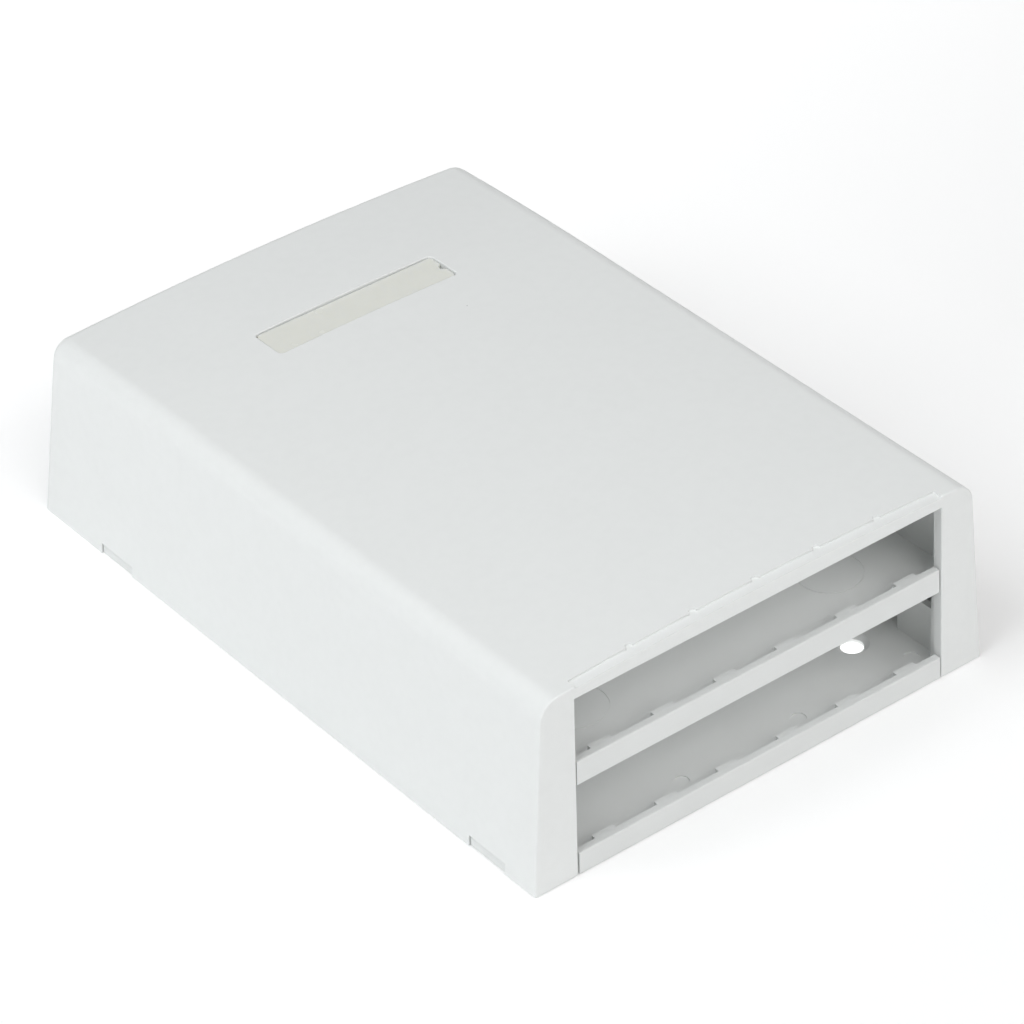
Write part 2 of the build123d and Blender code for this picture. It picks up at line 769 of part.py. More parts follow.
def saddle_screws(x):
    """The two pan-head screws of one saddle."""
    with BuildPart() as block:
        for offset in (-saddle_screw_offset, saddle_screw_offset):
            with BuildSketch(Plane.XY.offset(0.5)):
                with Locations((x + offset, behind(saddle_depth))):
                    Circle(saddle_screw_radius)
            extrude(amount=base_floor + 1.6)
            with BuildSketch(Plane.XY.offset(base_floor + saddle_foot_height + 0.02)):
                with Locations((x + offset, behind(saddle_depth))):
                    Circle(saddle_head_radius)
            extrude(amount=saddle_head_height)
            with BuildSketch(Plane.XY.offset(base_floor + 2.7)):
                with Locations((x + offset, behind(saddle_depth))):
                    Rectangle(2.4, 0.6)
                    Rectangle(0.6, 2.4)
            extrude(amount=saddle_head_height, mode=Mode.SUBTRACT)
    return block


for side, side_name in ((-1, "left"), (1, "right")):
    write(cable_saddle(side * entry_x), f"cable_saddle_{side_name}")
    write(saddle_screws(side * entry_x), f"saddle_screws_{side_name}")
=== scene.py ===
import json
import math

import bmesh
import bpy
from mathutils import Matrix, Vector

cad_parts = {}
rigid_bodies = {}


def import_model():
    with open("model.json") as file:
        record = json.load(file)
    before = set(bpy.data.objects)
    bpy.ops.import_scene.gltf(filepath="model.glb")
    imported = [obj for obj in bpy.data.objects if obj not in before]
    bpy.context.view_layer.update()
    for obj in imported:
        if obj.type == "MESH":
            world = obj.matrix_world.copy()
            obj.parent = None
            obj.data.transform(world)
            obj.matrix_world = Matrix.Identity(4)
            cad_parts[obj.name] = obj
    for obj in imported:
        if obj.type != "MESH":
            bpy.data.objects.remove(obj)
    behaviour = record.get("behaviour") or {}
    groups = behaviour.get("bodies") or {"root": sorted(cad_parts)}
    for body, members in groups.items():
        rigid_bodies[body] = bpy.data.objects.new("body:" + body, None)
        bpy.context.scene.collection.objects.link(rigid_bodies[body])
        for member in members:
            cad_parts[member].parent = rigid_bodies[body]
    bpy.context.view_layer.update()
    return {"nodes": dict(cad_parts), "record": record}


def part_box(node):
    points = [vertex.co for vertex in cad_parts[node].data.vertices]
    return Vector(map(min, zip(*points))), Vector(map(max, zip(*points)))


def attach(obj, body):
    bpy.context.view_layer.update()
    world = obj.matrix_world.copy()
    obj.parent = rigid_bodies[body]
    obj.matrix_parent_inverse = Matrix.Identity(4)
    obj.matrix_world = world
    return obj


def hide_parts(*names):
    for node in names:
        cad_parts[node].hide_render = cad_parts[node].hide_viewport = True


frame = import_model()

bl_info = {
    "name": "Fiber Termination Box",
    "version": (1, 0, 0),
    "blender": (4, 5, 0),
    "location": "View3D > Sidebar > Termination Box",
    "description": "Finishes the two-deck fiber termination box and sets its studio",
    "category": "Object",
}

MM = 0.001

SPECK_SHARE = 0.4  # of the cells that hold a speck
SPECK_RADIUS = 0.014  # of a cell
FILL_SIZE = (84 * MM, 30 * MM)
FILL_BEHIND_FRONT = 22 * MM
FILL_HEIGHTS = {"upper_deck_fill": 43.5 * MM, "lower_deck_fill": 21.5 * MM}
PANEL_INSET = (16 * MM, 14 * MM)
GLOW_REACH = 0.25
GLOW_GAIN = 4


def linear(code):
    """The linear colour of an sRGB hex code, with full alpha."""
    channels = [int(code[i : i + 2], 16) / 255 for i in (1, 3, 5)]
    return tuple(c / 12.92 if c <= 0.04045 else ((c + 0.055) / 1.055) ** 2.4 for c in channels) + (1.0,)


def colour_property(name, description, code):
    """A colour that the user can change, given as an sRGB hex code."""
    return bpy.props.FloatVectorProperty(
        name=name, description=description, default=linear(code), size=4, min=0, max=1, subtype="COLOR"
    )


# ---- Settings -----------------------------------------------------------------------------
class BoxColours(bpy.types.PropertyGroup):
    """Colours of the box's finishes."""

    cover: colour_property("Cover", "Grained white ABS of the cover", "#E8EAE9")
    body: colour_property("Body", "Smooth white ABS of the base and the tray", "#E2E4E3")
    window: colour_property("Window", "Frosted polycarbonate of the label window", "#E4E5DE")
    card: colour_property("Card", "Paper of the label card", "#E4E4DE")
    spool: colour_property("Spool", "Light grey ABS of the spools and saddles", "#C6C9CB")
    clip: colour_property("Clip", "Natural nylon of the clips", "#DEDBCE")
    splice: colour_property("Splice holder", "Dark elastomer of the splice holders", "#3C4044")
    entry: colour_property("Cable entry", "Light grey rubber of the cable entries", "#B4B7B7")
    steel: colour_property("Steel", "Zinc-plated steel of the screws", "#C3C6CA")
    brass: colour_property("Brass", "Brass of the threaded insert", "#CDA65C")
    floor: colour_property("Floor", "Pale studio floor", "#FAFAFA")


class BoxSizes(bpy.types.PropertyGroup):
    """Sizes of the box's details, its finishes and the studio."""

    soft_edge: bpy.props.FloatProperty(
        name="Soft edge", description="Width of the rounding that moulding leaves on every edge",
        default=0.16 * MM, min=0.05 * MM, max=0.5 * MM, unit="LENGTH", precision=5,
    )
    grain: bpy.props.FloatProperty(
        name="Mould grain", description="Pitch of the spark-eroded grain on the cover",
        default=0.45 * MM, min=0.1 * MM, max=5 * MM, unit="LENGTH", precision=5,
    )
    screw_pitch: bpy.props.FloatProperty(
        name="Screw pitch", description="Pitch of the cover screw's thread",
        default=0.5 * MM, min=0.2 * MM, max=2 * MM, unit="LENGTH", precision=5,
    )
    knurls: bpy.props.IntProperty(
        name="Knurls", description="Ridges round the threaded insert", default=20, min=8, max=60
    )
    surround: bpy.props.FloatProperty(
        name="Surround", description="Brightness of the white studio round the box", default=0.27, min=0, max=2
    )
    floor_glow: bpy.props.FloatProperty(
        name="Floor glow", description="Light that the backlit floor gives off", default=0.08, min=0, max=2
    )
    deck_fill: bpy.props.FloatProperty(
        name="Deck fill", description="Power of the faint fill light over each deck's front",
        default=0.0016, min=0, max=1, precision=4,
    )
    lens: bpy.props.FloatProperty(
        name="Lens", description="Focal length on a 36 mm sensor", default=161.88, min=20, max=400
    )
    azimuth: bpy.props.FloatProperty(
        name="Azimuth", description="Camera's direction round the box",
        default=math.radians(-36.531), subtype="ANGLE",
    )
    elevation: bpy.props.FloatProperty(
        name="Elevation", description="Camera's height angle", default=math.radians(35.773), subtype="ANGLE"
    )
    roll: bpy.props.FloatProperty(
        name="Roll", description="Camera's tilt about its own axis",
        default=math.radians(-2.782), subtype="ANGLE",
    )
    camera_place: bpy.props.FloatVectorProperty(
        name="Camera", description="Camera's place", default=(-0.48203, -0.65721, 0.60503),
        size=3, subtype="TRANSLATION",
    )


# ---- Materials ----------------------------------------------------------------------------
def node(tree, kind, settings=None, links=None):
    """Add a shader node with its settings, and link its sockets: {input: (node, output)}."""
    made = tree.nodes.new(kind)
    for name, value in (settings or {}).items():
        if name in made.inputs:
            made.inputs[name].default_value = value
        else:
            setattr(made, name, value)
    for name, (source, output) in (links or {}).items():
        tree.links.new(source.outputs[output], made.inputs[name])
    return made


def surface(name, settings):
    """A new material with one principled shader; returns it with its tree and shader."""
    material = bpy.data.materials.new(name)
    material.use_nodes = True
    tree = material.node_tree
    tree.nodes.clear()
    shader = node(tree, "ShaderNodeBsdfPrincipled", settings)
    node(tree, "ShaderNodeOutputMaterial", links={"Surface": (shader, "BSDF")})
    return material, tree, shader


def mottle(tree, shader, base, other, size, detail=3.0):
    """Vary the base colour softly between two tones, in patches of the given size."""
    place = node(tree, "ShaderNodeTexCoord")
    cloud = node(tree, "ShaderNodeTexNoise", {"Scale": 1 / size, "Detail": detail}, {"Vector": (place, "Object")})
    tones = node(tree, "ShaderNodeValToRGB", links={"Fac": (cloud, "Fac")})
    tones.color_ramp.elements[0].position = 0.32
    tones.color_ramp.elements[0].color = other
    tones.color_ramp.elements[1].position = 0.62
    tones.color_ramp.elements[1].color = base
    tree.links.new(tones.outputs["Color"], shader.inputs["Base Color"])
    return tones


def relief(tree, shader, layers):
    """Surface relief as bump, one over the other: (texture node kind, size, height, extra settings)."""
    place = node(tree, "ShaderNodeTexCoord")
    normal = None
    for kind, size, height, extra in layers:
        pattern = node(tree, kind, {"Scale": 1 / size, **extra}, {"Vector": (place, "Object")})
        output = "Fac" if "Fac" in pattern.outputs else "Distance"
        links = {"Height": (pattern, output)}
        if normal:
            links["Normal"] = (normal, "Normal")
        normal = node(tree, "ShaderNodeBump", {"Strength": 1.0, "Distance": height}, links)
    tree.links.new(normal.outputs["Normal"], shader.inputs["Normal"])


def sheen_change(tree, shader, low, high, size):
    """Vary the roughness between two values, in patches of the given size."""
    place = node(tree, "ShaderNodeTexCoord")
    cloud = node(tree, "ShaderNodeTexNoise", {"Scale": 1 / size, "Detail": 2.0}, {"Vector": (place, "Object")})
    spread = node(
        tree, "ShaderNodeMapRange",
        {"From Min": 0.3, "From Max": 0.7, "To Min": low, "To Max": high}, {"Value": (cloud, "Fac")},
    )
    tree.links.new(spread.outputs["Result"], shader.inputs["Roughness"])


def darker(colour, share):
    """A colour a little darker than another."""
    return tuple(c * (1 - share) for c in colour[:3]) + (1.0,)


def specks(tree, shader, tones, size, colour):
    """Sparse dark pinpoints in the base colour, one to a cell of the given size and few of those kept."""
    place = node(tree, "ShaderNodeTexCoord")
    cells = node(tree, "ShaderNodeTexVoronoi", {"Scale": 1 / size}, {"Vector": (place, "Object")})
    chosen = node(tree, "ShaderNodeSeparateColor", links={"Color": (cells, "Color")})
    kept = node(tree, "ShaderNodeMath", {"operation": "GREATER_THAN"}, {0: (chosen, "Red")})
    kept.inputs[1].default_value = 1 - SPECK_SHARE
    dot = node(tree, "ShaderNodeMath", {"operation": "LESS_THAN"}, {0: (cells, "Distance")})
    dot.inputs[1].default_value = SPECK_RADIUS
    both = node(tree, "ShaderNodeMath", {"operation": "MULTIPLY"}, {0: (kept, "Value"), 1: (dot, "Value")})
    blend = node(tree, "ShaderNodeMix", {"data_type": "RGBA"})
    tree.links.new(both.outputs["Value"], blend.inputs[0])
    tree.links.new(tones.outputs["Color"], blend.inputs[6])
    blend.inputs[7].default_value = colour
    tree.links.new(blend.outputs[2], shader.inputs["Base Color"])


def grained_abs(colours, sizes):
    # ABS moulded against a spark-eroded tool: an even satin with a fine grain that breaks up every
    # highlight. The real grain is about 0.1 mm; it is drawn coarser so that it shows.
    material, tree, shader = surface("ABS, spark-grained", {"Roughness": 0.5, "IOR": 1.54})
    tones = mottle(tree, shader, colours.cover, darker(colours.cover, 0.012), 2.5 * MM)
    specks(tree, shader, tones, 22 * MM, linear("#8E9190"))
    sheen_change(tree, shader, 0.46, 0.54, 12 * MM)
    relief(tree, shader, (
        ("ShaderNodeTexNoise", sizes.grain, 0.012 * MM, {"Detail": 3.0}),
        ("ShaderNodeTexVoronoi", 1.6 * sizes.grain, 0.006 * MM, {}),
    ))
    return material


def smooth_abs(colours, sizes):
    # ABS moulded against a stone-polished tool: smoother and a little glossier than the cover, with
    # the faint long waves that the flow of the melt leaves.
    material, tree, shader = surface("ABS, stone-polished", {"Roughness": 0.42, "IOR": 1.54})
    tones = mottle(tree, shader, colours.body, darker(colours.body, 0.02), 14 * MM, 2.0)
    specks(tree, shader, tones, 16 * MM, linear("#7F8282"))
    sheen_change(tree, shader, 0.38, 0.48, 9 * MM)
    relief(tree, shader, (
        ("ShaderNodeTexNoise", 18 * MM, 0.03 * MM, {"Detail": 1.0}),
        ("ShaderNodeTexNoise", 0.35 * MM, 0.003 * MM, {"Detail": 2.0}),
    ))
    return material


def grey_abs(colours, sizes):
    # Grey ABS of the fiber hardware: satin, with a faint cloudiness of tone and sheen.
    material, tree, shader = surface("ABS, light grey", {"Roughness": 0.38, "IOR": 1.54})
    mottle(tree, shader, colours.spool, darker(colours.spool, 0.04), 6 * MM)
    sheen_change(tree, shader, 0.34, 0.46, 5 * MM)
    relief(tree, shader, (("ShaderNodeTexNoise", 0.4 * MM, 0.004 * MM, {"Detail": 2.0}),))
    return material


def natural_nylon(colours, sizes):
    # Unfilled nylon: milky and slightly see-through at its thin edges, with a waxy shine.
    material, tree, shader = surface("nylon, natural", {
        "Roughness": 0.32, "IOR": 1.53, "Subsurface Weight": 0.35, "Subsurface Scale": 1.5 * MM,
        "Subsurface Radius": (1.0, 0.9, 0.7),
    })
    mottle(tree, shader, colours.clip, darker(colours.clip, 0.05), 2 * MM)
    relief(tree, shader, (("ShaderNodeTexNoise", 0.8 * MM, 0.006 * MM, {"Detail": 2.0}),))
    return material


def frosted_polycarbonate(colours, sizes):
    # Polycarbonate with a frosted back: milky and slightly warm, glossy in front, and light sinks a
    # little way into it, so that its edges glow.
    material, tree, shader = surface("polycarbonate, frosted", {
        "Roughness": 0.22, "IOR": 1.585, "Subsurface Weight": 0.4, "Subsurface Scale": 1.2 * MM,
        "Subsurface Radius": (1.0, 0.95, 0.8),
    })
    mottle(tree, shader, colours.window, darker(colours.window, 0.015), 4 * MM, 2.0)
    sheen_change(tree, shader, 0.18, 0.28, 6 * MM)
    relief(tree, shader, (("ShaderNodeTexNoise", 12 * MM, 0.01 * MM, {"Detail": 1.0}),))
    return material


def card_paper(colours, sizes):
    # Uncoated card: matt, finely mottled by its fibres.
    material, tree, shader = surface("paper card, uncoated", {"Roughness": 0.9, "IOR": 1.45})
    mottle(tree, shader, colours.card, darker(colours.card, 0.06), 0.5 * MM, 6.0)
    relief(tree, shader, (("ShaderNodeTexNoise", 0.2 * MM, 0.01 * MM, {"Detail": 4.0}),))
    return material


def silicone_rubber(colours, sizes):
    # Soft dark elastomer that grips the splice sleeves: matt, with a dusty bloom on its faces.
    material, tree, shader = surface("silicone rubber, dark", {
        "Roughness": 0.7, "IOR": 1.43, "Sheen Weight": 0.25, "Sheen Roughness": 0.5,
    })
    mottle(tree, shader, colours.splice, darker(colours.splice, 0.25), 1.5 * MM, 5.0)
    relief(tree, shader, (("ShaderNodeTexNoise", 0.25 * MM, 0.015 * MM, {"Detail": 4.0}),))
    return material


def grommet_rubber(colours, sizes):
    # Grey thermoplastic rubber of the cable entries: matt, slightly pebbled and soft at its edges.
    material, tree, shader = surface("thermoplastic rubber, grey", {
        "Roughness": 0.62, "IOR": 1.5, "Sheen Weight": 0.15, "Sheen Roughness": 0.5,
    })
    mottle(tree, shader, colours.entry, darker(colours.entry, 0.12), 2 * MM, 5.0)
    relief(tree, shader, (("ShaderNodeTexNoise", 0.3 * MM, 0.012 * MM, {"Detail": 4.0}),))
    return material


def zinc_steel(colours, sizes):
    # Zinc-plated steel: pale bluish metal with a soft blotchy lustre from the plating bath.
    material, tree, shader = surface("steel, zinc-plated", {"Metallic": 1.0, "Roughness": 0.3})
    mottle(tree, shader, colours.steel, darker(colours.steel, 0.2), 0.7 * MM, 4.0)
    sheen_change(tree, shader, 0.22, 0.42, 0.5 * MM)
    relief(tree, shader, (("ShaderNodeTexNoise", 0.15 * MM, 0.004 * MM, {"Detail": 2.0}),))
    return material


def turned_brass(colours, sizes):
    # Free-cutting brass off a lathe: warm, bright, dulled a little by handling.
    material, tree, shader = surface("brass, turned", {"Metallic": 1.0, "Roughness": 0.28})
    mottle(tree, shader, colours.brass, darker(colours.brass, 0.25), 0.9 * MM, 4.0)
    sheen_change(tree, shader, 0.2, 0.38, 0.6 * MM)
    relief(tree, shader, (("ShaderNodeTexNoise", 0.12 * MM, 0.003 * MM, {"Detail": 2.0}),))
    return material


FINISHES = {
    "cover_abs": grained_abs,
    "body_abs": smooth_abs,
    "window_frosted": frosted_polycarbonate,
    "label_paper": card_paper,
    "screw_steel": zinc_steel,
    "insert_brass": turned_brass,
    "nylon_natural": natural_nylon,
    "spool_abs": grey_abs,
    "splice_rubber": silicone_rubber,
    "entry_rubber": grommet_rubber,
}
SLOTS = {part["node"]: part["material_slot"] for part in frame["record"]["subparts"]}


def finish(scene, slot):
    """The material of one of the record's slots, made the first time it is asked for."""
    maker = FINISHES[slot]
    known = [material for material in bpy.data.materials if material.get("slot") == slot]
    if known:
        return known[0]
    material = maker(scene.box_colours, scene.box_sizes)
    material["slot"] = slot
    return material


# ---- Modelling ----------------------------------------------------------------------------
def paint(scene, name):
    """Give a carried-over node its material."""
    piece = frame["nodes"][name]
    piece.data.materials.clear()
    piece.data.materials.append(finish(scene, SLOTS[name]))


def soften(name, width, angle=40):
    """Round every sharp edge of a carried-over node by a width."""
    piece = frame["nodes"][name]
    weld = piece.modifiers.new("weld", "WELD")
    weld.merge_threshold = 0.0005 * MM
    bevel = piece.modifiers.new("soft edges", "BEVEL")
    bevel.width = width
    bevel.segments = 2
    bevel.limit_method = "ANGLE"
    bevel.angle_limit = math.radians(angle)
    bevel.use_clamp_overlap = True
    bevel.harden_normals = True


class TERMBOX_OT_hardware(bpy.types.Operator):
    """Finish the spools, splice holders, clips, saddles and cable entries"""

    bl_idname = "termbox.hardware"
    bl_label = "Fiber hardware and cable entries"

    def execute(self, context):
        scene = context.scene
        for name, slot in SLOTS.items():
            if slot in ("spool_abs", "splice_rubber", "nylon_natural", "entry_rubber"):
                paint(scene, name)
                soften(name, 1.5 * scene.box_sizes.soft_edge)
        return {"FINISHED"}


class TERMBOX_OT_label(bpy.types.Operator):
    """Finish the label window and its card"""

    bl_idname = "termbox.label"
    bl_label = "Label window and card"

    def execute(self, context):
        scene = context.scene
        for name in ("label_window", "label_card"):
            paint(scene, name)
        soften("label_window", scene.box_sizes.soft_edge)
        return {"FINISHED"}


def trace(points):
    """Draw a line through points by extruding one vertex from each point to the next."""
    bpy.ops.object.select_all(action="DESELECT")
    bpy.ops.mesh.primitive_plane_add(size=MM, location=points[0])
    piece = bpy.context.object
    bpy.ops.object.mode_set(mode="EDIT")
    bpy.ops.mesh.select_mode(type="VERT")
    bpy.ops.mesh.select_all(action="SELECT")
    bpy.ops.mesh.merge(type="CENTER")
    for start, end in zip(points, points[1:]):
        step = Vector(end) - Vector(start)
        bpy.ops.mesh.extrude_region_move(TRANSFORM_OT_translate={"value": step})
    return piece


def close_up():
    """Merge the open piece's doubles, turn its faces outwards and leave edit mode."""
    bpy.ops.mesh.select_all(action="SELECT")
    bpy.ops.mesh.remove_doubles(threshold=0.001 * MM)
    bpy.ops.mesh.normals_make_consistent(inside=False)
    bpy.ops.object.mode_set(mode="OBJECT")


def turned(centre, profile, steps=48):
    """A turned piece: a profile of (radius, height) spun round an upright axis."""
    piece = trace([(centre[0] + radius, centre[1], height) for radius, height in profile])
    bpy.ops.mesh.select_all(action="SELECT")
    bpy.ops.mesh.spin(steps=steps, angle=2 * math.pi, center=(centre[0], centre[1], 0), axis=(0, 0, 1))
    close_up()
    return piece


def choose(piece, test):
    """Enter edit mode with just the faces selected that pass a test."""
    bpy.ops.object.select_all(action="DESELECT")
    piece.select_set(True)
    bpy.context.view_layer.objects.active = piece
    bpy.ops.object.mode_set(mode="EDIT")
    bpy.ops.mesh.select_mode(type="FACE")
    bpy.ops.mesh.select_all(action="DESELECT")
    mesh = bmesh.from_edit_mesh(piece.data)
    for face in mesh.faces:
        face.select_set(test(piece.matrix_world @ face.calc_center_median(), face.normal))
    bmesh.update_edit_mesh(piece.data)


def join(piece, others):
    """Join other objects into a piece."""
    bpy.ops.object.select_all(action="DESELECT")
    for other in others:
        other.select_set(True)
    piece.select_set(True)
    bpy.context.view_layer.objects.active = piece
    bpy.ops.object.join()


def carve(piece, cutter):
    """Cut a shape out of a piece, and drop the shape."""
    bpy.ops.object.select_all(action="DESELECT")
    piece.select_set(True)
    bpy.context.view_layer.objects.active = piece
    cut = piece.modifiers.new("cut", "BOOLEAN")
    cut.operation = "DIFFERENCE"
    cut.object = cutter
    bpy.ops.object.modifier_apply(modifier=cut.name)
    bpy.data.objects.remove(cutter)


def settle(scene, piece, name, body, slot, *nodes, smooth=35):
    """Finish a new piece: origin, name, smoothing, material, body and the nodes it stands for."""
    bpy.ops.object.select_all(action="DESELECT")
    piece.select_set(True)
    bpy.context.view_layer.objects.active = piece
    bpy.ops.object.transform_apply(location=True, rotation=True, scale=True)
    bpy.ops.object.shade_smooth_by_angle(angle=math.radians(smooth))
    piece.name = name
    piece.data.name = name
    piece.data.materials.clear()
    piece.data.materials.append(finish(scene, slot))
    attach(piece, body)
    if nodes:
        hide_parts(*nodes)


def recast(scene, name, body, width):
    """Stand for a carried-over node with a copy that has merged facets and softened edges."""
    bpy.ops.object.select_all(action="DESELECT")
    source = frame["nodes"][name]
    source.select_set(True)
    bpy.context.view_layer.objects.active = source
    bpy.ops.object.duplicate(linked=False)
    piece = bpy.context.object
    bpy.ops.object.parent_clear(type="CLEAR_KEEP_TRANSFORM")
    bpy.ops.mesh.customdata_custom_splitnormals_clear()
    bpy.ops.object.mode_set(mode="EDIT")
    bpy.ops.mesh.select_all(action="SELECT")
    bpy.ops.mesh.remove_doubles(threshold=0.002 * MM)
    bpy.ops.mesh.dissolve_limited(angle_limit=math.radians(0.05))
    bpy.ops.object.mode_set(mode="OBJECT")
    bevel = piece.modifiers.new("soft edges", "BEVEL")
    bevel.width = width
    bevel.segments = 2
    bevel.limit_method = "ANGLE"
    bevel.angle_limit = math.radians(38)
    bevel.miter_outer = "MITER_ARC"
    bpy.ops.object.modifier_apply(modifier=bevel.name)
    settle(scene, piece, f"{name}_shell", body, SLOTS[name], name)
    even = piece.modifiers.new("even shading", "WEIGHTED_NORMAL")
    even.keep_sharp = True
    even.weight = 60
    bpy.context.view_layer.objects.active = piece
    bpy.ops.object.modifier_apply(modifier=even.name)


class TERMBOX_OT_shell(bpy.types.Operator):
    """Make the moulded cover, base and tray with softened edges"""

    bl_idname = "termbox.shell"
    bl_label = "Cover, base and tray"

    def execute(self, context):
        scene = context.scene
        for name, body in (("cover", "cover"), ("base", "base"), ("upper_tray", "tray")):
            recast(scene, name, body, scene.box_sizes.soft_edge)
        return {"FINISHED"}


def helix(centre, bottom, top, root, crest, pitch):
    """A screw thread: one tooth of its section carried round and up."""
    tooth = [
        (root, bottom),
        (crest, bottom + 0.4 * pitch),
        (crest, bottom + 0.55 * pitch),
        (root, bottom + pitch),
    ]
    piece = trace([(centre[0] + radius, centre[1], height) for radius, height in tooth])
    bpy.ops.object.mode_set(mode="OBJECT")
    bpy.context.scene.cursor.location = (centre[0], centre[1], bottom)
    bpy.ops.object.origin_set(type="ORIGIN_CURSOR")
    turn = piece.modifiers.new("thread", "SCREW")
    turn.angle = 2 * math.pi
    turn.screw_offset = pitch
    turn.iterations = int((top - bottom) / pitch) - 1
    turn.steps = turn.render_steps = 28
    turn.use_merge_vertices = True
    turn.merge_threshold = 0.001 * MM
    bpy.ops.object.modifier_apply(modifier=turn.name)
    bpy.ops.object.mode_set(mode="EDIT")
    close_up()
    return piece


def cross_shape(centre, top, reach, width, depth):
    """A cross that narrows downwards, to cut the recess of a screw head."""
    bpy.ops.object.select_all(action="DESELECT")
    bpy.ops.mesh.primitive_cube_add(size=width, location=(centre[0], centre[1], top))
    cutter = bpy.context.object
    bpy.ops.object.mode_set(mode="EDIT")
    bpy.ops.transform.resize(value=(1, 1, 2 * depth / width))
    bpy.ops.object.mode_set(mode="OBJECT")
    choose(cutter, lambda place, normal: abs(normal.z) < 0.5)
    bpy.ops.mesh.extrude_faces_move(TRANSFORM_OT_shrink_fatten={"value": reach - width / 2})
    bpy.ops.object.mode_set(mode="OBJECT")
    choose(cutter, lambda place, normal: normal.z < -0.5)
    bpy.ops.transform.resize(value=(0.45, 0.45, 1))
    bpy.ops.object.mode_set(mode="OBJECT")
    return cutter


def screw(centre, tip, seat, top, head, shank, recess):
    """A pan-head screw: head with a cross recess, shank and thread. Radii and heights in metres."""
    pitch = bpy.context.scene.box_sizes.screw_pitch
    core = shank - 0.55 * pitch
    rise = top - seat
    thread_end = tip + 0.45 * (seat - tip)
    body = turned(centre, (
        (0, tip),
        (0.6 * core, tip),
        (core, tip + 0.4 * MM),
        (core, thread_end),
        (shank - 0.05 * MM, thread_end + 0.3 * MM),
        (shank - 0.05 * MM, seat),
        (head - 0.1 * MM, seat),
        (head, seat + 0.1 * MM),
        (head, seat + 0.42 * rise),
        (0.96 * head, seat + 0.62 * rise),
        (0.86 * head, seat + 0.8 * rise),
        (0.7 * head, seat + 0.92 * rise),
        (0.45 * head, top),
        (0, top),
    ))
    carve(body, cross_shape(centre, top + 0.01 * MM, recess, 0.3 * recess, 0.62 * rise))
    join(body, [helix(centre, tip + 0.4 * MM, thread_end, core - 0.02 * MM, shank, pitch)])
    return body


def middle(low, high):
    """The middle of a box, as x and y."""
    return ((low[0] + high[0]) / 2, (low[1] + high[1]) / 2)


class TERMBOX_OT_fasteners(bpy.types.Operator):
    """Make the cover screw, the saddle screws and the threaded insert"""

    bl_idname = "termbox.fasteners"
    bl_label = "Screws and insert"

    def execute(self, context):
        scene = context.scene
        low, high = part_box("cover_screw")
        head = (high[0] - low[0]) / 2
        cover_screw = screw(middle(low, high), low[2], high[2] - 2 * MM, high[2], head, 1.5 * MM, 1.7 * MM)
        settle(scene, cover_screw, "cover_screw_threaded", "screw", "screw_steel", "cover_screw")
        paint(scene, "screw_retainer")
        for side in ("left", "right"):
            node_name = f"saddle_screws_{side}"
            low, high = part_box(node_name)
            y = (low[1] + high[1]) / 2
            pair = [
                screw((x, y), low[2], high[2] - 1.5 * MM, high[2], 1.9 * MM, 1.2 * MM, 1.2 * MM)
                for x in (low[0] + 1.9 * MM, high[0] - 1.9 * MM)
            ]
            join(pair[0], pair[1:])
            settle(scene, pair[0], f"saddle_screw_pair_{side}", "base", "screw_steel", node_name)
        self.insert(scene)
        return {"FINISHED"}

    def insert(self, scene):
        """The brass insert: a turned bush with two straight-knurled bands."""
        low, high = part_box("threaded_insert")
        outer = (high[0] - low[0]) / 2
        bore = 1.56 * MM
        bottom, top = low[2], high[2]
        groove = outer - 0.3 * MM
        centre = middle(low, high)
        knurls = scene.box_sizes.knurls
        bush = turned(centre, (
            (bore, bottom),
            (outer - 0.35 * MM, bottom),
            (outer, bottom + 0.3 * MM),
            (outer, bottom + 1.6 * MM),
            (groove, bottom + 1.7 * MM),
            (groove, bottom + 2.3 * MM),
            (outer, bottom + 2.4 * MM),
            (outer, bottom + 4.2 * MM),
            (groove, bottom + 4.3 * MM),
            (groove, top - 0.9 * MM),
            (outer, top - 0.8 * MM),
            (outer, top - 0.1 * MM),
            (outer - 0.1 * MM, top),
            (bore + 0.2 * MM, top),
            (bore, top - 0.2 * MM),
            (bore, bottom),
        ), 2 * knurls)

        def between_ridges(place, normal):
            across = Vector((place.x - centre[0], place.y - centre[1]))
            on_band = across.length > outer - 0.1 * MM and abs(normal.z) < 0.1 and place.z < top - 1 * MM
            turn = math.atan2(across.y, across.x) / math.pi * knurls
            return on_band and math.floor(turn) % 2 == 0

        choose(bush, between_ridges)
        bpy.ops.mesh.extrude_faces_move(TRANSFORM_OT_shrink_fatten={"value": -0.16 * MM})
        bpy.ops.object.mode_set(mode="OBJECT")
        settle(scene, bush, "threaded_insert_knurled", "base", "insert_brass", "threaded_insert", smooth=25)


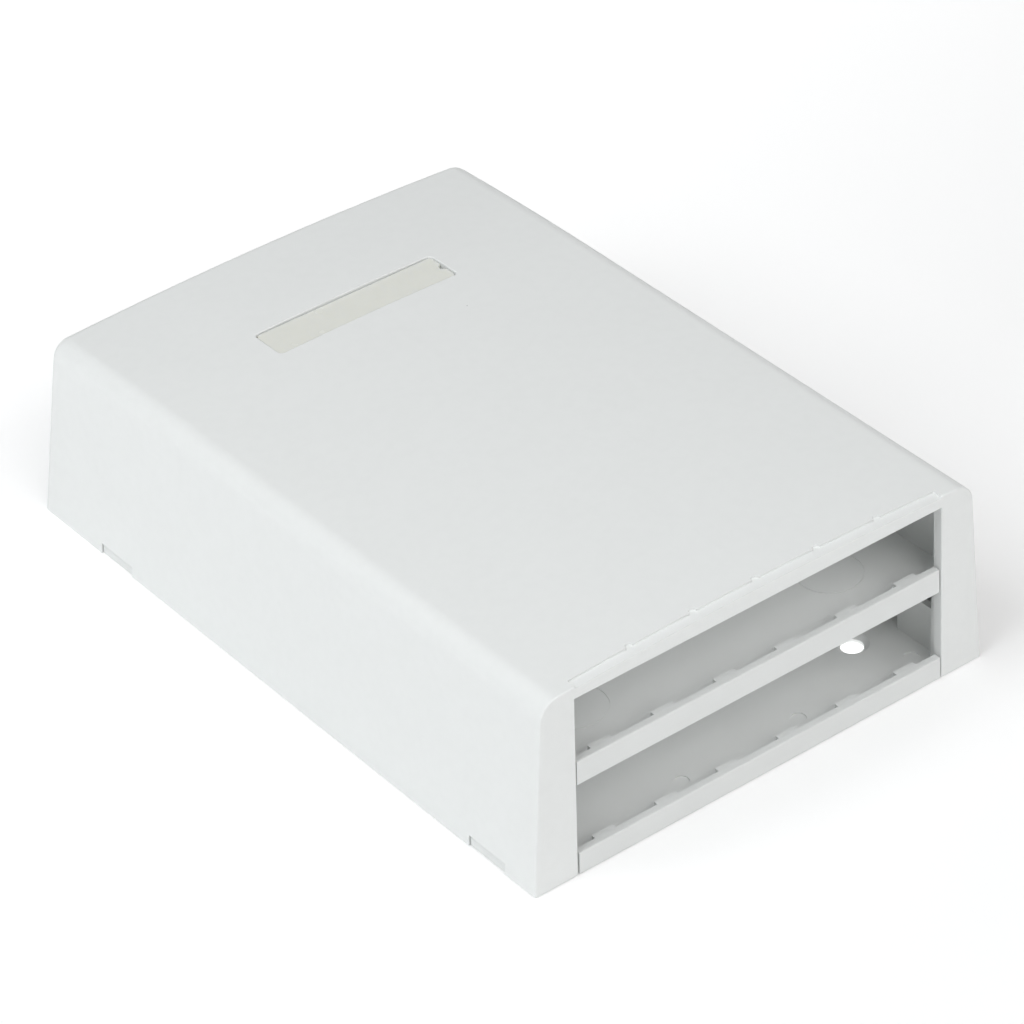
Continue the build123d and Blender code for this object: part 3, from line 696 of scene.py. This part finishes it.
class TERMBOX_OT_studio(bpy.types.Operator):
    """Set the floor, the lights and the camera"""

    bl_idname = "termbox.studio"
    bl_label = "Studio"

    def execute(self, context):
        scene = context.scene
        colours, sizes = scene.box_colours, scene.box_sizes
        bpy.ops.object.select_all(action="DESELECT")
        bpy.ops.mesh.primitive_plane_add(size=6, location=(0, 0, -0.0002))
        floor = context.object
        floor.name = "studio_floor"
        material, tree, shader = surface("backlit studio paper", {
            "Base Color": colours.floor, "Roughness": 0.9, "Emission Color": (1, 1, 1, 1),
        })
        # the glow grows towards the far edge of the floor, so that the backdrop stays white
        place = node(tree, "ShaderNodeTexCoord")
        apart = node(tree, "ShaderNodeSeparateXYZ", links={"Vector": (place, "Object")})
        glow = node(
            tree, "ShaderNodeMapRange",
            {
                "From Min": 0, "From Max": GLOW_REACH,
                "To Min": sizes.floor_glow, "To Max": GLOW_GAIN * sizes.floor_glow,
            },
            {"Value": (apart, "Y")},
        )
        tree.links.new(glow.outputs["Result"], shader.inputs["Emission Strength"])
        floor.data.materials.append(material)
        # a small bright panel under the box shows through its screw holes
        low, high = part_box("base")
        width, length = (high[axis] - low[axis] - PANEL_INSET[axis] for axis in (0, 1))
        bpy.ops.object.select_all(action="DESELECT")
        bpy.ops.mesh.primitive_plane_add(size=width, location=(0, 0, -0.1 * MM))
        panel = context.object
        panel.name = "studio_light_panel"
        panel.data.materials.append(surface("light panel", {
            "Base Color": colours.floor, "Roughness": 0.9,
            "Emission Color": (1, 1, 1, 1), "Emission Strength": 1.1,
        })[0])
        bpy.ops.object.mode_set(mode="EDIT")
        bpy.ops.transform.resize(value=(1, length / width, 1))
        bpy.ops.object.mode_set(mode="OBJECT")
        world = bpy.data.worlds.new("studio")
        scene.world = world
        world.use_nodes = True
        world.node_tree.nodes["Background"].inputs["Color"].default_value = (1, 1, 1, 1)
        world.node_tree.nodes["Background"].inputs["Strength"].default_value = sizes.surround
        for name, place, size, power, code in (
            ("softbox_left", (-1.3, 0.0, 1.5), 1.4, 19.0, "#FAFDFF"),
            ("softbox_top", (-0.3, -0.2, 2.0), 1.4, 6.6, "#FFFFFF"),
            ("softbox_right", (0.9, -1.2, 1.5), 1.0, 5.0, "#FFFDFC"),
            ("softbox_front", (-0.2, -1.5, 1.3), 1.0, 9.0, "#FFFEFD"),
        ):
            light = bpy.data.lights.new(name, "AREA")
            light.size = size
            light.energy = power
            light.color = linear(code)[:3]
            lamp = bpy.data.objects.new(name, light)
            scene.collection.objects.link(lamp)
            lamp.location = place
            lamp.rotation_euler = (-Vector(place)).to_track_quat("-Z", "Y").to_euler()
        # two faint lights inside the box, over the decks' fronts, that lift the shade on the deck floors
        for name, height in FILL_HEIGHTS.items():
            light = bpy.data.lights.new(name, "AREA")
            light.shape = "RECTANGLE"
            light.size, light.size_y = FILL_SIZE
            light.energy = sizes.deck_fill
            light.spread = math.radians(110)
            lamp = bpy.data.objects.new(name, light)
            scene.collection.objects.link(lamp)
            lamp.location = (0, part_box("base")[0][1] + FILL_BEHIND_FRONT, height)
        data = bpy.data.cameras.new("camera")
        data.lens = sizes.lens
        data.sensor_width = 36
        data.clip_start = 0.01
        camera = bpy.data.objects.new("camera", data)
        scene.collection.objects.link(camera)
        forward = Vector((
            -math.sin(sizes.azimuth) * math.cos(sizes.elevation),
            math.cos(sizes.azimuth) * math.cos(sizes.elevation),
            -math.sin(sizes.elevation),
        ))
        level = forward.cross(Vector((0, 0, 1))).normalized()
        rise = level.cross(forward)
        right = level * math.cos(sizes.roll) + rise * math.sin(sizes.roll)
        up = rise * math.cos(sizes.roll) - level * math.sin(sizes.roll)
        camera.matrix_world = Matrix((
            (right.x, up.x, -forward.x, sizes.camera_place[0]),
            (right.y, up.y, -forward.y, sizes.camera_place[1]),
            (right.z, up.z, -forward.z, sizes.camera_place[2]),
            (0, 0, 0, 1),
        ))
        scene.camera = camera
        scene.view_settings.view_transform = "Standard"
        return {"FINISHED"}


class TERMBOX_PT_panel(bpy.types.Panel):
    """The box's settings and makers"""

    bl_idname = "TERMBOX_PT_panel"
    bl_label = "Termination Box"
    bl_space_type = "VIEW_3D"
    bl_region_type = "UI"
    bl_category = "Termination Box"

    def draw(self, context):
        for group in (context.scene.box_sizes, context.scene.box_colours):
            for name in group.__annotations__:
                self.layout.prop(group, name)
        for operator in OPERATORS:
            self.layout.operator(operator.bl_idname)


OPERATORS = (
    TERMBOX_OT_shell, TERMBOX_OT_hardware, TERMBOX_OT_label, TERMBOX_OT_fasteners, TERMBOX_OT_studio
)
CLASSES = (BoxColours, BoxSizes, *OPERATORS, TERMBOX_PT_panel)


def register():
    for kind in CLASSES:
        bpy.utils.register_class(kind)
    bpy.types.Scene.box_colours = bpy.props.PointerProperty(type=BoxColours)
    bpy.types.Scene.box_sizes = bpy.props.PointerProperty(type=BoxSizes)


def unregister():
    del bpy.types.Scene.box_sizes
    del bpy.types.Scene.box_colours
    for kind in reversed(CLASSES):
        bpy.utils.unregister_class(kind)


def main():
    register()
    bpy.ops.termbox.shell()
    bpy.ops.termbox.hardware()
    bpy.ops.termbox.label()
    bpy.ops.termbox.fasteners()
    bpy.ops.termbox.studio()


if __name__ == "__main__":
    main()
